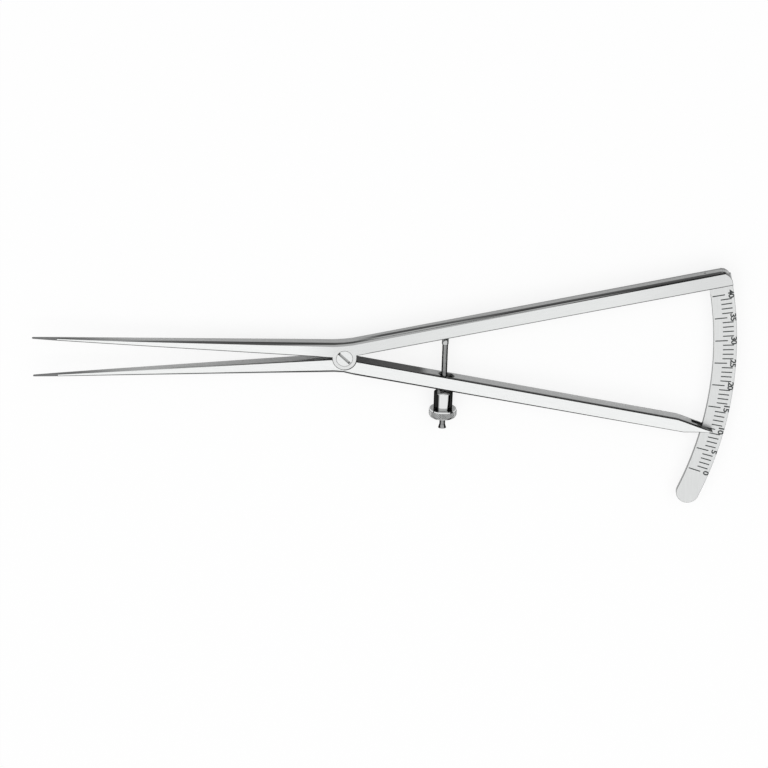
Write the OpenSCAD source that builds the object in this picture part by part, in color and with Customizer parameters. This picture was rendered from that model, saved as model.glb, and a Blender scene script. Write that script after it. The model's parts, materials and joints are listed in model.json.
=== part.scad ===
// Screw-adjusted reading caliper for surgery: two needle-tipped levers on a lap joint,
// an arc scale that reads the gap between the tips, and a swinging spindle whose
// knurled nut draws the arms together. X runs from the tips to the scale, Z is up out of
// the graduated face, and the origin is on the pivot's axis at the levers' flat back.

/* [Reading] */
// Distance from the pivot's axis to the tips
tip_reach = 79.5; // [70:0.5:100]
// Gap between the tips as the caliper is drawn
reading = 9.85; // [2:0.05:30]
// Largest gap that the scale is cut for
full_reading = 40; // [30:5:40]
// Angle left between the two arms at the largest reading
closed_arm_angle = 0.59; // [0.5:0.01:2]

/* [Levers] */
// Thickness of both levers
lever_t = 4.35; // [3.8:0.05:5]
// Width of a leg where it leaves the joint
leg_root_w = 4; // [3.6:0.05:4.6]
// Width of a leg at its tip
leg_tip_w = 0.43; // [0.3:0.01:0.8]
// Thickness of a leg at its tip
leg_tip_t = 0.5; // [0.3:0.01:0.8]
// How full the legs stay towards their tips: 1 is a straight taper
leg_fullness = 0.7; // [0.5:0.05:1]
// Height of the tips' axis over the levers' middle plane
tip_lift = 0.4; // [0:0.05:0.8]
// Width of the fixed arm at the joint
arm_root_w = 3.75; // [3.5:0.05:4.4]
// Width of the fixed arm at the scale
fixed_end_w = 3.8; // [3.6:0.05:5]
// Width of the pointer arm at the joint
pointer_root_w = 4; // [3.5:0.05:4.4]
// Width of the pointer arm where its index begins
pointer_end_w = 3.3; // [2.6:0.05:4]
// Angle by which the pointer arm's inner side turns towards the fixed arm
pointer_lean = 0.22; // [0:0.01:0.3]
// Rounding along the outer edges, at the joint
root_edge_r = 1; // [0.3:0.05:1.3]
// Rounding along the outer edges, at the scale end of the fixed arm
end_edge_r = 0.45; // [0.1:0.05:0.8]
// Rounding along the outer edges, where the pointer arm's index begins
index_edge_r = 0.3; // [0.1:0.05:0.8]
// Rounding along the inner sides
inner_edge_r = 0.18; // [0.05:0.01:0.3]
// Gap that the legs' inner sides keep from the line between them
leg_relief = 0.03; // [0.03:0.01:0.2]
// Gap that the arms' inner sides keep from the line through the pivot
arm_relief = 0.12; // [0.06:0.01:0.3]
// Corner radius at the scale end of the fixed arm
end_corner_r = 2.8; // [1:0.1:3]

/* [Joint] */
// Diameter of the half-thickness disc on each lever
disc_d = 6.1; // [5.4:0.1:6.6]
// Extra metal on the outer side of the elbow over the pivot
elbow_fill = 0.15; // [0:0.05:0.4]
// Distance from the pivot at which the elbow runs out into leg and arm
elbow_l = 2.8; // [2:0.1:5]
// Clearance round each disc
disc_clear = 0.07; // [0.03:0.01:0.1]
// Gap between the two discs
lap_clear = 0.04; // [0.02:0.01:0.1]
// Diameter of the pivot screw's head
screw_head_d = 4.1; // [3.6:0.1:4.6]
// Diameter of the pivot screw's shank
screw_d = 2.3; // [1.6:0.1:2.6]
// Metal left over the screw's end, at the back of the joint
screw_cover = 0.5; // [0.3:0.05:0.8]
// Width of the slot in the screw's head
screw_slot_w = 0.65; // [0.4:0.05:0.9]
// Depth of the slot in the screw's head
screw_slot_depth = 0.45; // [0.2:0.05:0.6]
// Direction of the slot, seen from the front
screw_slot_angle = -43.6; // [-90:1:90]
// Radial clearance of a turning fit
running_clear = 0.03; // [0.01:0.01:0.08]
// Radial clearance of a fixed fit
fixed_clear = 0.01; // [0.01:0.005:0.02]

/* [Scale] */
// Radius of the scale's inner edge, from the pivot's axis
scale_inner_r = 94.4; // [90:0.1:110]
// Width of the scale
scale_w = 5.95; // [5:0.05:8]
// Thickness of the scale
scale_t = 1.1; // [0.8:0.05:1.3]
// Depth of the scale's face behind the levers' front
scale_depth = 1.9; // [1.85:0.01:2]
// Length of the scale beyond its zero line
scale_tail = 9.6; // [6:0.1:14]
// Depth to which the scale's foot is let into the fixed arm
scale_foot = 2.7; // [1.5:0.1:2.8]
// Length of the foot inside the arm, towards the pivot from the scale's inner edge
foot_heel = 1.8; // [1.2:0.1:3]
// Diameter of the pin that holds the foot
scale_pin_d = 0.55; // [0.4:0.05:0.6]
// Distance from the scale's inner edge back to that pin
scale_pin_back = 0.5; // [0.4:0.1:0.8]
// Metal left over the pin's inner end
scale_pin_cover = 0.7; // [0.4:0.1:1]
// Width of a graduation line
tick_w = 0.3; // [0.2:0.02:0.36]
// Depth of a graduation line
tick_depth = 0.06; // [0.02:0.01:0.15]
// Where every fifth line starts, as a share of the scale's width
fifth_from = 0.07; // [0:0.01:0.3]
// Where every fifth line ends
fifth_to = 0.61; // [0.4:0.01:0.8]
// Where the other lines start
other_from = 0.4; // [0:0.01:0.5]
// Where the other lines end
other_to = 0.87; // [0.6:0.01:1]

/* [Index] */
// How far the index lies over the scale
index_over = 2.8; // [1:0.1:4]
// Angle from the pointer arm's inner side down to the index tip
index_drop = 0.97; // [0.8:0.01:1.4]
// Length of the index, from the bend in the arm's inner side to the tip
index_l = 9.7; // [8:0.1:14]
// Length of the sloping outer side of the index
index_slope_l = 7.4; // [5:0.1:8]
// Room between the bottom of the index's slot and the scale
slot_room = 2.9; // [1:0.1:4]
// Thickness of the index's front prong
prong_t = 1.75; // [1.5:0.05:1.8]
// Width of the index's blunt tip
index_tip_w = 0.08; // [0.05:0.01:0.2]
// Width of the slot between the prongs
slot_t = 1.9; // [1.75:0.05:2]

/* [Spindle] */
// Distance from the pivot's axis to the spindle's hinge and to its hole in the pointer arm
spindle_reach = 26.7; // [22:0.1:32]
// Distance of the hinge from the fixed arm's inner side
hinge_inset = 1.75; // [1.5:0.05:1.9]
// Angle by which the spindle leans back from the line through its hinge and hole
spindle_lean = 3; // [0:0.1:3.2]
// Diameter over the spindle's thread
thread_d = 1.53; // [1.2:0.01:1.8]
// Diameter of the plain shank next to the hinge
shank_d = 1.74; // [1.5:0.02:1.84]
// Where the shank ends, from the hinge
shank_l = 3.7; // [3:0.1:5]
// Length of the spindle from its hinge to its flared end
spindle_l = 26.9; // [26.9:0.1:32]
// Diameter of the flared end
flare_d = 2.06; // [1.9:0.02:2.2]
// Length of the flared end
flare_l = 0.9; // [0.5:0.1:1.1]
// Diameter of the spindle's eye
eye_d = 2.2; // [2:0.1:2.3]
// Thickness of the spindle's eye
eye_t = 1.25; // [1:0.05:1.5]
// Diameter of the hinge pin
hinge_pin_d = 0.9; // [0.7:0.05:1]
// Depth of the front face over the blind end of the hinge pin
hinge_pin_cover = 0.5; // [0.3:0.05:0.9]
// Length of the oblong hole in the pointer arm
hole_l = 3.5; // [3.4:0.1:4.5]
// Width of the oblong hole in the pointer arm
hole_w = 1.95; // [1.9:0.05:2.4]

/* [Nut] */
// Diameter of the sleeve that bears on the pointer arm
sleeve_d = 4.85; // [4.2:0.05:5.4]
// Radius of the sleeve's domed end
dome_r = 3.6; // [3:0.1:5]
// Length of the sleeve
sleeve_l = 5.4; // [5:0.02:6]
// Gap between the sleeve's dome and the arm at rest
seat_clear = 0.02; // [0.02:0.01:0.1]
// Diameter of the knurled flange
flange_d = 7.28; // [6.4:0.02:8.4]
// Thickness of the knurled flange
flange_t = 2.05; // [1.6:0.05:2.6]
// Bevel on both rims of the flange
flange_bevel = 0.25; // [0.1:0.05:0.4]
// Diameter of the nut's hub inside the sleeve
hub_d = 3.2; // [2.6:0.1:3.6]
// Length of the nut's hub inside the sleeve
hub_l = 3.4; // [2:0.1:3.8]
// Depth of the recess in the flange that takes the flared end
flare_recess = 1.2; // [1.1:0.1:1.5]

/* [Hidden] */
$fn = 96;
// Overshoot of a cut past the face that it opens
cut = 1;
leg_stations = 16;
// How much closer the leg's stations lie towards its tip
station_crowding = 1.3;
bend_stations = 6;
// Depth of the foot's heel, as a share of the foot's depth
heel_share = 0.8;
// How the index's inner side bends: 1 is a sharp knee and a straight line
index_bow = 1.1;
outer_steps = 6;
inner_steps = 2;
steel = "gainsboro";
bright = "silver";

// Opening of the levers, in degrees, for a gap between the tips
function opening(gap) = 2 * asin(gap / (2 * tip_reach));
half = opening(reading) / 2;
splay = (opening(full_reading) + closed_arm_angle) / 2;
arm_angle = splay - half;
mid_z = lever_t / 2;
scale_z = lever_t - scale_depth - scale_t;
disc_r = disc_d / 2;
recess_r = disc_r + disc_clear;
scale_outer_r = scale_inner_r + scale_w;
scale_mid_r = scale_inner_r + scale_w / 2;
index_r = scale_inner_r + index_over;
index_y = index_r * sin(index_drop);
bend_x = index_r - index_l;
slope_x = index_r - index_slope_l;
slot_x = scale_inner_r - slot_room;
zero_angle = -arm_angle - index_drop - 2 * half;
tail_angle = zero_angle - (scale_tail - scale_w / 2) / scale_mid_r * 180 / PI;

// The width of each arm, and the pointer arm's inner and outer side, at a distance along it
function fixed_w(x) = arm_root_w + (fixed_end_w - arm_root_w) * x / scale_outer_r;
function pointer_w(x) = pointer_root_w + (pointer_end_w - pointer_root_w) * x / slope_x;
function pointer_inner(x) = arm_relief + (spindle_reach - x) * tan(pointer_lean);
function pointer_outer(x) = pointer_inner(x) + pointer_w(x);

// The spindle's hinge in the fixed arm, and the direction of the spindle at rest
hinge_x = sqrt(spindle_reach * spindle_reach - hinge_inset * hinge_inset);
hinge_turn = arm_angle + asin(hinge_inset / spindle_reach);
hinge = spindle_reach * [cos(hinge_turn), sin(hinge_turn)];
spindle_turn = (hinge_turn - arm_angle) / 2 - 90 - spindle_lean;
spindle_dir = [cos(spindle_turn), sin(spindle_turn)];

// The pointer arm's outer side at rest: a point on it and its outward normal
outer_taper = atan((pointer_outer(0) - pointer_outer(slope_x)) / slope_x);
outer_turn = -arm_angle + outer_taper;
outer_normal = [sin(outer_turn), -cos(outer_turn)];
outer_point = pointer_outer(0) * [-sin(arm_angle), -cos(arm_angle)];
// Where the dome's centre lies along the spindle when the dome just clears that side
dome_at = (dome_r + seat_clear - (hinge - outer_point) * outer_normal)
        / (spindle_dir * outer_normal);
sleeve_at = dome_at - dome_r;
nut_at = sleeve_at + sleeve_l;
// Where the shank starts to be round, clear of the arm's inner side
shank_from = hinge_inset + 2 * inner_edge_r;
pocket_w = 1.5 * eye_d;

// One rounded-bar section: lightly rounded inner edges, and two well rounded outer ones
function arc(cy, cz, r, from, steps) =
    [for (i = [0 : steps]) [cy + r * cos(from + 90 * i / steps), cz + r * sin(from + 90 * i / steps)]];
function section(inner, w, t, r) =
    let (room = 0.45 * min(w, t), e = min(inner_edge_r, room), q = min(r, room))
    concat(arc(inner + e, -t / 2 + e, e, 180, inner_steps),
           arc(inner + w - q, -t / 2 + q, q, -90, outer_steps),
           arc(inner + w - q, t / 2 - q, q, 0, outer_steps),
           arc(inner + e, t / 2 - e, e, 90, inner_steps));
// A bar through sections at the stations [[x, y], turn, inner, w, t, r, lift]
function placed(st, p) =
    [st[0][0] - p[0] * sin(st[1]), st[0][1] + p[0] * cos(st[1]), p[1] + mid_z + st[6]];
module bar(stations) {
    rings = [for (st = stations) [for (p = section(st[2], st[3], st[4], st[5])) placed(st, p)]];
    n = len(rings[0]);
    last = len(rings) - 1;
    near = [for (i = [0 : n - 1]) i];
    far = [for (i = [n - 1 : -1 : 0]) last * n + i];
    lower = [for (k = [0 : last - 1]) for (i = [0 : n - 1])
             [(k + 1) * n + i, k * n + (i + 1) % n, k * n + i]];
    upper = [for (k = [0 : last - 1]) for (i = [0 : n - 1])
             [(k + 1) * n + i, (k + 1) * n + (i + 1) % n, k * n + (i + 1) % n]];
    polyhedron([for (ring = rings) each ring], concat([near], lower, upper, [far]));
}

// The leg runs towards -X from the pivot and ends in a round blunt tip
function leg_station(x) =
    let (s = 1 - x / tip_reach)
    [[-x, 0], 0, leg_relief, leg_tip_w + (leg_root_w - leg_tip_w) * s,
     leg_tip_t + (lever_t - leg_tip_t) * pow(s, leg_fullness),
     root_edge_r * sqrt(s) + leg_tip_w / 2, tip_lift * (1 - s)];
leg_body_l = tip_reach - leg_tip_w / 2;
leg_end = [[-tip_reach, 0], 0, leg_relief + leg_tip_w / 4, leg_tip_w / 2, leg_tip_t / 2,
           leg_tip_w / 4, tip_lift];
leg = concat([leg_end],
    [for (i = [0 : leg_stations])
        leg_station(elbow_l + (leg_body_l - elbow_l) * pow(1 - i / leg_stations, station_crowding))]);
// The elbow over the pivot, filled a little on its outer side
elbow = [[[0, 0], splay / 2, (leg_relief + arm_relief) / 2, (leg_root_w + arm_root_w) / 2 + elbow_fill,
          lever_t, root_edge_r, 0]];
// A station of an arm, at a distance along it
function arm_station(x, inner, w, r) =
    [x * [cos(splay), sin(splay)], splay, inner, w, lever_t, r, 0];

// An arm's own frame: X along its inner side, Y outwards
module in_arm() { rotate(splay) children(); }

module fixed_blank() {
    end_r = scale_outer_r + cut;
    corner_y = fixed_w(scale_outer_r) + arm_relief - end_corner_r;
    difference() {
        bar(concat(leg, elbow, [arm_station(elbow_l, arm_relief, fixed_w(elbow_l), root_edge_r),
                                arm_station(end_r, arm_relief, fixed_w(end_r), end_edge_r)]));
        // The end follows the scale's outer edge
        in_arm() translate([0, 0, -cut]) difference() {
            translate([scale_outer_r - 4 * cut, -cut])
                cube([8 * cut, fixed_end_w + 4 * cut, lever_t + 2 * cut]);
            cylinder(r = scale_outer_r, h = lever_t + 2 * cut, $fn = 720);
        }
        // The outer corner is rounded
        in_arm()
            translate([scale_outer_r - end_corner_r, corner_y, -cut])
                difference() {
                    cube([end_corner_r + cut, end_corner_r + cut, lever_t + 2 * cut]);
                    cylinder(r = end_corner_r, h = lever_t + 2 * cut);
                }
    }
}

// The slot in the fixed arm that takes the scale's foot, in the arm's frame
module foot_slot() {
    translate([scale_inner_r - foot_heel - fixed_clear, -cut, scale_z - fixed_clear])
        cube([scale_w + foot_heel + 2 * cut, scale_foot + fixed_clear + cut, scale_t + 2 * fixed_clear]);
}

module eye_pocket() {
    h = eye_t + 4 * running_clear;
    translate([hinge_x, hinge_inset, mid_z - h / 2]) {
        cylinder(d = eye_d + 8 * running_clear, h = h);
        translate([-pocket_w / 2, -hinge_inset - cut, 0]) cube([pocket_w, hinge_inset + cut, h]);
    }
}

module hinge_pin(clear) {
    translate([hinge_x, hinge_inset, -clear])
        cylinder(d = hinge_pin_d + 2 * clear, h = lever_t - hinge_pin_cover + 2 * clear);
}

// The pin through the scale's foot, which runs on by a length past the arm's outer side
module scale_dowel(clear, over) {
    x = scale_inner_r - scale_pin_back;
    l = fixed_w(x) + arm_relief - scale_pin_cover;
    translate([x, scale_pin_cover, scale_z + scale_t / 2]) rotate([-90, 0, 0])
        cylinder(d = scale_pin_d + 2 * clear, h = l + over, $fn = 32);
}

module fixed_lever() {
    color(steel) rotate(-half) difference() {
        union() {
            fixed_blank();
            translate([0, 0, mid_z + lap_clear / 2]) cylinder(r = disc_r, h = mid_z - lap_clear / 2);
        }
        // Recess for the other lever's disc, on the back
        translate([0, 0, -cut]) cylinder(r = recess_r, h = cut + mid_z + lap_clear / 2);
        // Countersunk bore for the pivot screw
        screw_body(running_clear);
        in_arm() {
            foot_slot();
            eye_pocket();
            hinge_pin(fixed_clear);
            scale_dowel(fixed_clear, cut);
        }
    }
}

// The index bends down from the pointer arm's inner side, and its outer side slopes up to its tip
function index_inner(x) =
    pointer_inner(bend_x) + (index_y - pointer_inner(bend_x)) * pow((x - bend_x) / index_l, index_bow);
function index_outer(x) = x < slope_x ? pointer_outer(x)
    : pointer_outer(slope_x)
      + (index_y + index_tip_w - pointer_outer(slope_x)) * (x - slope_x) / index_slope_l;
function index_station(x) =
    arm_station(x, index_inner(x), index_outer(x) - index_inner(x), index_edge_r);
module pointer_blank() {
    bend = [for (i = [1 : bend_stations]) bend_x + (slope_x - bend_x) * i / bend_stations];
    difference() {
        bar(concat(leg, elbow, [arm_station(elbow_l, pointer_inner(elbow_l), pointer_w(elbow_l), root_edge_r),
                                arm_station(bend_x, pointer_inner(bend_x), pointer_w(bend_x), index_edge_r)],
                   [for (x = concat(bend, [(slope_x + index_r) / 2, index_r])) index_station(x)]));
        in_arm() {
            translate([slot_x, -cut, lever_t - prong_t - slot_t])
                cube([index_r - slot_x + cut, pointer_end_w + 3 * cut, slot_t]);
            // Oblong hole for the spindle, square to the arm
            translate([spindle_reach, -cut, mid_z]) rotate([-90, 0, 0])
                linear_extrude(pointer_root_w + 3 * cut) {
                    for (dx = [-1, 1]) translate([dx * (hole_l - hole_w) / 2, 0]) circle(d = hole_w);
                    square([hole_l - hole_w, hole_w], center = true);
                }
        }
    }
}

module pointer_lever() {
    color(steel) rotate(half) mirror([0, 1, 0]) difference() {
        union() {
            pointer_blank();
            cylinder(r = disc_r, h = mid_z - lap_clear / 2);
        }
        // Recess for the other lever's disc, on the front
        translate([0, 0, mid_z - lap_clear / 2]) cylinder(r = recess_r, h = mid_z + cut);
        // Threaded hole for the pivot screw
        translate([0, 0, screw_cover]) cylinder(d = screw_d + 2 * fixed_clear, h = lever_t);
    }
}

// The screw's countersunk head and shank, grown all round by a clearance
module screw_body(clear) {
    cone_h = (screw_head_d - screw_d) / 2;
    screw_z = screw_cover + fixed_clear;
    translate([0, 0, screw_z]) cylinder(d = screw_d + 2 * clear, h = lever_t - screw_z);
    translate([0, 0, lever_t - cone_h])
        cylinder(d1 = screw_d + 2 * clear, d2 = screw_head_d + 2 * clear, h = cone_h);
    if (clear > 0) translate([0, 0, lever_t]) cylinder(d = screw_head_d + 2 * clear, h = cut);
}

module pivot_screw() {
    color(bright) difference() {
        screw_body(0);
        rotate(screw_slot_angle) translate([-screw_head_d, -screw_slot_w / 2, lever_t - screw_slot_depth])
            cube([2 * screw_head_d, screw_slot_w, screw_slot_depth + cut]);
    }
}

// The arc between two angles, as a ring sector
module ring_sector(r1, r2, from, to, h) {
    rotate(from) rotate_extrude(angle = to - from, $fn = 720) translate([r1, 0]) square([r2 - r1, h]);
}

// A line from one share of the scale's width to another: every fifth lies nearer the inner edge
module graduation(gap) {
    share = gap % 5 == 0 ? [fifth_from, fifth_to] : [other_from, other_to];
    rotate(zero_angle + opening(gap))
        translate([scale_inner_r + scale_w * share[0], -tick_w / 2, scale_z + scale_t - tick_depth])
            cube([scale_w * (share[1] - share[0]), tick_w, tick_depth + cut]);
}

// The arc runs on into the fixed arm as its foot, which has a heel towards the pivot
module scale_plate() {
    foot_angle = atan(scale_foot / scale_outer_r);
    color(steel) difference() {
        translate([0, 0, scale_z]) union() {
            ring_sector(scale_inner_r, scale_outer_r, tail_angle, arm_angle + foot_angle, scale_t);
            rotate(tail_angle) translate([scale_mid_r, 0]) cylinder(d = scale_w, h = scale_t);
            rotate(-half) in_arm() translate([scale_inner_r - foot_heel, arm_relief])
                cube([foot_heel + cut, heel_share * scale_foot - arm_relief, scale_t]);
        }
        for (gap = [0 : full_reading]) graduation(gap);
        rotate(-half) in_arm() scale_dowel(fixed_clear, cut);
    }
}

module scale_pin() {
    color(bright) rotate(-half) in_arm() scale_dowel(0, 0);
}

module spindle_pin() {
    color(bright) rotate(-half) in_arm() hinge_pin(0);
}

// Along the spindle: X from its hinge towards its flared end
module in_spindle() { translate([hinge[0], hinge[1], mid_z]) rotate(spindle_turn) children(); }
module rod(from, l, d1, d2) {
    translate([from, 0, 0]) rotate([0, 90, 0]) cylinder(d1 = d1, d2 = d2, h = l);
}

module spindle() {
    flare_at = spindle_l - flare_l;
    color(bright) in_spindle() difference() {
        union() {
            translate([0, 0, -eye_t / 2]) cylinder(d = eye_d, h = eye_t);
            rod(shank_from, shank_l - shank_from, shank_d, shank_d);
            // Flats on the shank next to the eye
            intersection() {
                rod(0, shank_l, shank_d, shank_d);
                translate([0, -shank_d / 2, -eye_t / 2]) cube([shank_l, shank_d, eye_t]);
            }
            rod(shank_l, flare_at - shank_l, thread_d, thread_d);
            rod(flare_at, flare_l, thread_d, flare_d);
        }
        translate([0, 0, -eye_t]) cylinder(d = hinge_pin_d + 2 * running_clear, h = 2 * eye_t);
    }
}

module thrust_sleeve() {
    bore_d = thread_d + 4 * running_clear;
    counterbore_d = hub_d + 2 * running_clear;
    color(bright) in_spindle() difference() {
        intersection() {
            rod(sleeve_at - cut, sleeve_l + cut, sleeve_d, sleeve_d);
            union() {
                translate([dome_at, 0, 0]) rotate([0, 90, 0]) sphere(dome_r);
                rod(dome_at, sleeve_l, 2 * sleeve_d, 2 * sleeve_d);
            }
        }
        rod(sleeve_at - cut, sleeve_l + 2 * cut, bore_d, bore_d);
        rod(nut_at - hub_l - 2 * running_clear, hub_l + cut, counterbore_d, counterbore_d);
    }
}

module knurled_nut() {
    flange_at = nut_at + running_clear;
    bevel_d = flange_d - 2 * flange_bevel;
    recess_d = flare_d + 10 * running_clear;
    color(bright) in_spindle() difference() {
        union() {
            rod(flange_at - hub_l, hub_l + flange_t / 2, hub_d, hub_d);
            rod(flange_at, flange_bevel, bevel_d, flange_d);
            rod(flange_at + flange_bevel, flange_t - 2 * flange_bevel, flange_d, flange_d);
            rod(flange_at + flange_t - flange_bevel, flange_bevel, flange_d, bevel_d);
        }
        rod(flange_at - hub_l - cut, hub_l + flange_t + 2 * cut,
            thread_d + 2 * running_clear, thread_d + 2 * running_clear);
        rod(flange_at + flange_t - flare_recess, flare_recess + cut, recess_d, recess_d);
    }
}

fixed_lever();
pointer_lever();
pivot_screw();
scale_plate();
scale_pin();
spindle();
spindle_pin();
thrust_sleeve();
knurled_nut();
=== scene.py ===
# Surgical caliper: satin levers, arc scale with filled graduations, threaded spindle and knurled nut
import json
import math
import bpy
from mathutils import Matrix, Vector


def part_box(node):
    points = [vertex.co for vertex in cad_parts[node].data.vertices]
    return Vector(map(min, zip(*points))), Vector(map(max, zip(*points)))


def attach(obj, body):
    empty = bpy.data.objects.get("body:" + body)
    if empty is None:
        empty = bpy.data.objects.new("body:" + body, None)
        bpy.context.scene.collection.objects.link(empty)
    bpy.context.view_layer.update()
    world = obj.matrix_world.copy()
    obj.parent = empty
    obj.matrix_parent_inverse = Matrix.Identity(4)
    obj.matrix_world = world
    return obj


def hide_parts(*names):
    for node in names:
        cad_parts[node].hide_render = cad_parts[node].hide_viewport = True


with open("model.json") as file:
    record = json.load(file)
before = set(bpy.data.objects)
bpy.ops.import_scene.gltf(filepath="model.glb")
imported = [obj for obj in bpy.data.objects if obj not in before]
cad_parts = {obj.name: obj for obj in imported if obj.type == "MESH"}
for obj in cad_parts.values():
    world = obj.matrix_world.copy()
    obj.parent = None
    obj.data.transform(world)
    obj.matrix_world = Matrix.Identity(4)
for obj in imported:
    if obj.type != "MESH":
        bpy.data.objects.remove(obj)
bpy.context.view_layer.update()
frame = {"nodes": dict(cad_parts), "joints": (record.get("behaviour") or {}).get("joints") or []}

MM = 0.001
nodes = frame["nodes"]
joints = {joint["name"]: joint for joint in frame["joints"]}

# Within a hair two heights are the same, and loose points closer than a weld are one
hair = 0.001 * MM
weld = 0.0002 * MM

# Places taken from the frame
hinge = Vector(joints["spindle_swing"]["pos_m"])
spindle_dir = -Vector(joints["nut_travel"]["axis"]).normalized()
lever_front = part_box("fixed_lever")[1].z
scale_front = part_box("scale_plate")[1].z

# The caliper's opening and its arc
tip_reach = 79.5 * MM
reading = 9.85 * MM
full_reading = 40
closed_arm_angle = math.radians(0.59)
index_drop = math.radians(0.97)
scale_inner_r = 94.4 * MM
scale_w = 5.95 * MM
scale_tail = 9.6 * MM
rim_slack = 0.02 * MM

# Levers
disc_r = 3.05 * MM
disc_top = 0.4 * MM
recess_r = 3.12 * MM
countersink_r = 2.08 * MM
circle_slack = 0.012 * MM
arm_relief = 0.12 * MM
leg_relief = 0.03 * MM
needle_reach = 71.8 * MM
arm_end_reach = 97.3 * MM
index_slot_z = (0.7 * MM, 2.6 * MM)
index_slot_reach = 88 * MM
hole_rim_reach = (11.5 * MM, 13 * MM)
hole_rim_r = 2.4 * MM
hole_rim_height = 1 * MM
hole_reach = 11 * MM
hole_r = 3 * MM
hole_height = 1.6 * MM
pocket_reach = 3 * MM
pocket_r = 2.4 * MM
front_edge_break = 0.09 * MM
hole_rim_break = 0.4 * MM

# Scale lines and numbers, with some sizes as shares of the scale's width, a line's depth or the type's size
line_w = 0.3 * MM
line_depth = 0.06 * MM
fifth_line = (0.07, 0.61)
other_line = (0.4, 0.87)
fill_depth_share = 0.85
fill_length_share = 0.995
fill_width_share = 0.97
fill_corner_share = 0.04
number_height = 1.5 * MM
number_stretch = 1.2
number_share = 0.86
digit_share = 0.75
number_spacing = 0.88
number_weight = 0.062 * MM
number_rise = 0.012 * MM

# Spindle thread, its root and crest given as shares of the pitch
thread_d = 1.53 * MM
thread_pitch = 0.35 * MM
thread_depth = 0.32 * thread_pitch
thread_root_end = 0.0835
thread_crest_start = 0.4375
thread_from = 3.7 * MM
thread_to = 26.0 * MM
thread_steps = 20

# Knurled nut
flange_d = 7.28 * MM
flange_t = 2.05 * MM
flange_bevel = 0.25 * MM
flange_rim_r = flange_d / 2 - flange_bevel
knurl_depth = 0.16 * MM
knurl_valley_r = flange_d / 2 - knurl_depth
knurl_w = flange_t - 2 * flange_bevel
knurl_teeth = 44
knurl_rows = 6
hub_d = 3.2 * MM
nut_bore_d = 1.59 * MM
recess_d = 2.36 * MM
recess_depth = 1.2 * MM


def opening(gap):
    """The angle between the levers for a gap between the tips."""
    return 2 * math.asin(gap / (2 * tip_reach))


half_opening = opening(reading) / 2
splay = (opening(full_reading * MM) + closed_arm_angle) / 2
arm_angle = splay - half_opening
zero_angle = -arm_angle - index_drop - 2 * half_opening
scale_outer_r = scale_inner_r + scale_w
scale_mid_r = scale_inner_r + scale_w / 2
tail_angle = zero_angle - (scale_tail - scale_w / 2) / scale_mid_r


# Helpers for modelling by hand
def deselect_all():
    bpy.ops.object.select_all(action="DESELECT")


def take(piece):
    deselect_all()
    piece.select_set(True)
    bpy.context.view_layer.objects.active = piece


def edit(piece, mode="VERT"):
    take(piece)
    bpy.ops.object.mode_set(mode="EDIT")
    bpy.ops.mesh.select_mode(type=mode)
    bpy.ops.mesh.select_all(action="DESELECT")


def leave_edit():
    bpy.ops.object.mode_set(mode="OBJECT")


def pick(piece, kind, test):
    """Selects only the faces, edges or vertices that pass the test, in edit mode."""
    bpy.ops.object.mode_set(mode="EDIT")
    bpy.ops.mesh.select_all(action="DESELECT")
    bpy.ops.object.mode_set(mode="OBJECT")
    for item in getattr(piece.data, kind):
        item.select = test(item)
    bpy.ops.object.mode_set(mode="EDIT")


def apply_place(piece, place):
    """Moves the mesh by the matrix, so that the object stays at the origin."""
    piece.data.transform(place)
    piece.data.update()


def apply_modifiers(piece):
    take(piece)
    for modifier in list(piece.modifiers):
        bpy.ops.object.modifier_apply(modifier=modifier.name)


def break_edges(piece, width):
    """Rounds every sharp edge by the width."""
    modifier = piece.modifiers.new("edge_break", "BEVEL")
    modifier.width = width
    modifier.segments = 2
    modifier.limit_method = "ANGLE"
    modifier.angle_limit = math.radians(35)
    apply_modifiers(piece)


def soften(piece, width, on_edge, segments=2):
    """Rounds the edges whose two ends both pass the test."""
    ends = piece.data.vertices
    edit(piece, "EDGE")
    pick(piece, "edges", lambda e: on_edge(ends[e.vertices[0]].co) and on_edge(ends[e.vertices[1]].co))
    bpy.ops.mesh.bevel(offset=width, segments=segments, clamp_overlap=False)
    leave_edit()


def is_front(face):
    """True on the flat fronts and backs."""
    return abs(face.normal.z) > 0.985


def at_height(point, height):
    return abs(point.z - height) < hair


def smooth(piece, angle=math.radians(30), flat_fronts=False):
    take(piece)
    bpy.ops.object.shade_smooth_by_angle(angle=angle)
    for face in piece.data.polygons:
        if flat_fronts and is_front(face):
            face.use_smooth = False


def join(pieces, name):
    deselect_all()
    for piece in pieces:
        piece.select_set(True)
    bpy.context.view_layer.objects.active = pieces[0]
    bpy.ops.object.join()
    pieces[0].name = name
    pieces[0].data.name = name
    return pieces[0]


def cad_copy(node, name):
    """A copy of a node's mesh whose loose triangles are merged."""
    piece = nodes[node].copy()
    piece.data = nodes[node].data.copy()
    piece.parent = None
    for key in list(piece.keys()):
        del piece[key]
    piece.name = name
    piece.data.name = name
    bpy.context.scene.collection.objects.link(piece)
    piece.matrix_world = Matrix.Identity(4)
    edit(piece)
    bpy.ops.mesh.select_all(action="SELECT")
    bpy.ops.mesh.remove_doubles(threshold=weld)
    bpy.ops.mesh.dissolve_limited(angle_limit=math.radians(0.3))
    leave_edit()
    return piece


def paint(piece, materials, choose=None):
    """Gives a piece its materials, each face the one that choose returns for it, or else the first."""
    piece.data.materials.clear()
    for material in materials:
        piece.data.materials.append(material)
    for face in piece.data.polygons:
        face.material_index = materials.index(choose(face)) if choose else 0


# The spindle's own frame: Z along it from its hinge
spindle_place = Matrix.Translation(hinge) @ spindle_dir.to_track_quat("Z", "Y").to_matrix().to_4x4()


def from_rod(point):
    """How far along the rod a point is, and how far beside its centre line."""
    reach = (point - hinge).dot(spindle_dir)
    return reach, (point - hinge - spindle_dir * reach).length


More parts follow.
